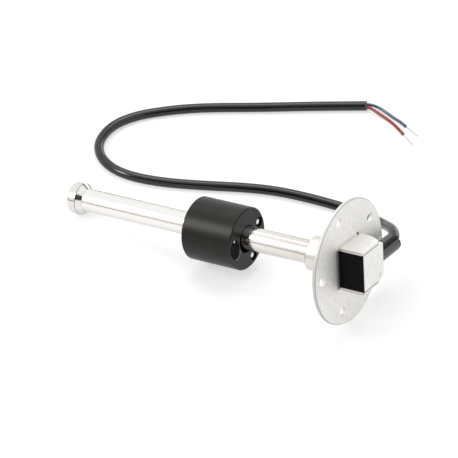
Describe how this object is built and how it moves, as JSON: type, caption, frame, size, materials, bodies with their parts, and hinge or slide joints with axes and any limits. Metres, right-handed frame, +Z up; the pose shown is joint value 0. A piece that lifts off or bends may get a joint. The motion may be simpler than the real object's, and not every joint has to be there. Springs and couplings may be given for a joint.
{
  "type": "water level sensor",
  "caption": "Tank level sensor: a bolted round flange, a steel stem with a sliding black float and an end stop, a small terminal cover, and a cable with bare wire ends.",
  "frame": {"origin": "on the floor, under the middle of the sensor's own box without its cable", "axes": "+X level along the stem, from the end stop towards the flange and cover; +Y towards the side where the cable leaves; +Z up"},
  "size_m": [0.2148, 0.194, 0.0675],
  "materials": {
    "satin_steel": "satin",
    "polished_steel": "polished",
    "float_foam": "satin moulded foam",
    "nickel": "plated",
    "potting_resin": "flat cast resin",
    "sleeve_rubber": "matte",
    "cable_jacket": "satin",
    "blue_insulation": "satin",
    "red_insulation": "satin",
    "tinned_copper": "dull tin",
    "board_laminate": "satin",
    "reed_glass": "clear",
    "chip_black": "matte"
  },
  "bodies": {
    "sensor": {"flange_plate": "satin_steel", "stem_collar": "polished_steel", "stem_tube": "polished_steel", "end_stop": "polished_steel", "terminal_cover": "satin_steel", "potting_block": "potting_resin", "cable_sleeve": "sleeve_rubber", "cable_jacket": "cable_jacket", "blue_wire": "blue_insulation", "red_wire": "red_insulation", "blue_wire_end": "tinned_copper", "red_wire_end": "tinned_copper", "circuit_board": "board_laminate", "signal_lead": "red_insulation", "ground_lead": "blue_insulation", "reed_switch_1": "reed_glass", "resistor_1": "chip_black", "reed_switch_2": "reed_glass", "resistor_2": "chip_black", "reed_switch_3": "reed_glass", "resistor_3": "chip_black", "reed_switch_4": "reed_glass", "resistor_4": "chip_black", "reed_switch_5": "reed_glass", "resistor_5": "chip_black", "reed_switch_6": "reed_glass", "resistor_6": "chip_black", "reed_switch_7": "reed_glass", "resistor_7": "chip_black"},
    "float": {"float_body": "float_foam", "float_magnet_1": "nickel", "float_magnet_2": "nickel", "float_magnet_3": "nickel"}
  },
  "joints": [
    {"name": "float_slide", "type": "slide", "parent": "sensor", "child": "float", "axis": [0.9896, 0, 0.1437], "range_m": [-0.0725, 0.0409]}
  ]
}
